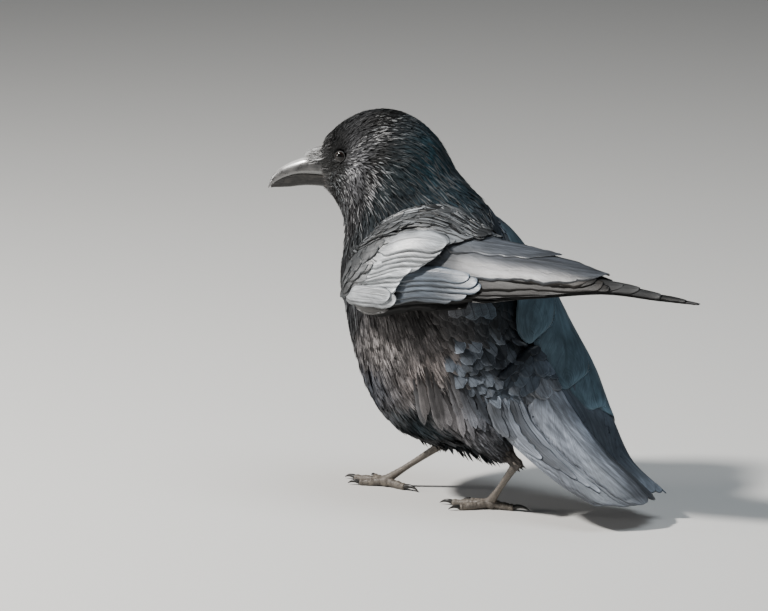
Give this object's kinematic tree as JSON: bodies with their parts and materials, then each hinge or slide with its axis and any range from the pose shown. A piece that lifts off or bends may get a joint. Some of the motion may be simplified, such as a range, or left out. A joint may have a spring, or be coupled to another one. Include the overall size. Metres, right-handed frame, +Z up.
{
  "type": "crow",
  "caption": "Life-size walking crow with a turned head, one wing lifted level and the other folded, and a tail that slopes almost to the floor.",
  "frame": {"origin": "on the floor, below the middle of the bird's outline", "axes": "-X ahead, in the direction the trunk faces; -Y to the bird's left; +Z up"},
  "size_m": [0.3828, 0.1406, 0.3154],
  "materials": {
    "body_feather": "soft black plumage",
    "flight_feather": "satin black vane with a blue-grey sheen",
    "horn": "satin grey-black horn",
    "leg_scute": "dull scaled skin",
    "eye": "wet, very dark brown"
  },
  "bodies": {
    "root": {"bill_lower": "horn", "bill_upper": "horn", "claw_left_hind": "horn", "claw_left_inner": "horn", "claw_left_middle": "horn", "claw_left_outer": "horn", "claw_right_hind": "horn", "claw_right_inner": "horn", "claw_right_middle": "horn", "claw_right_outer": "horn", "eye_left": "eye", "eye_right": "eye", "foot_left": "leg_scute", "foot_right": "leg_scute", "head": "body_feather", "nasal_bristles": "body_feather", "neck": "body_feather", "tail": "flight_feather", "tarsus_left": "leg_scute", "tarsus_right": "leg_scute", "thigh_left": "body_feather", "thigh_right": "body_feather", "trunk": "body_feather", "wing_left_coverts": "flight_feather", "wing_left_primaries": "flight_feather", "wing_left_tertials": "flight_feather", "wing_right_coverts": "flight_feather", "wing_right_primaries": "flight_feather", "wing_right_tertials": "flight_feather"}
  },
  "joints": []
}
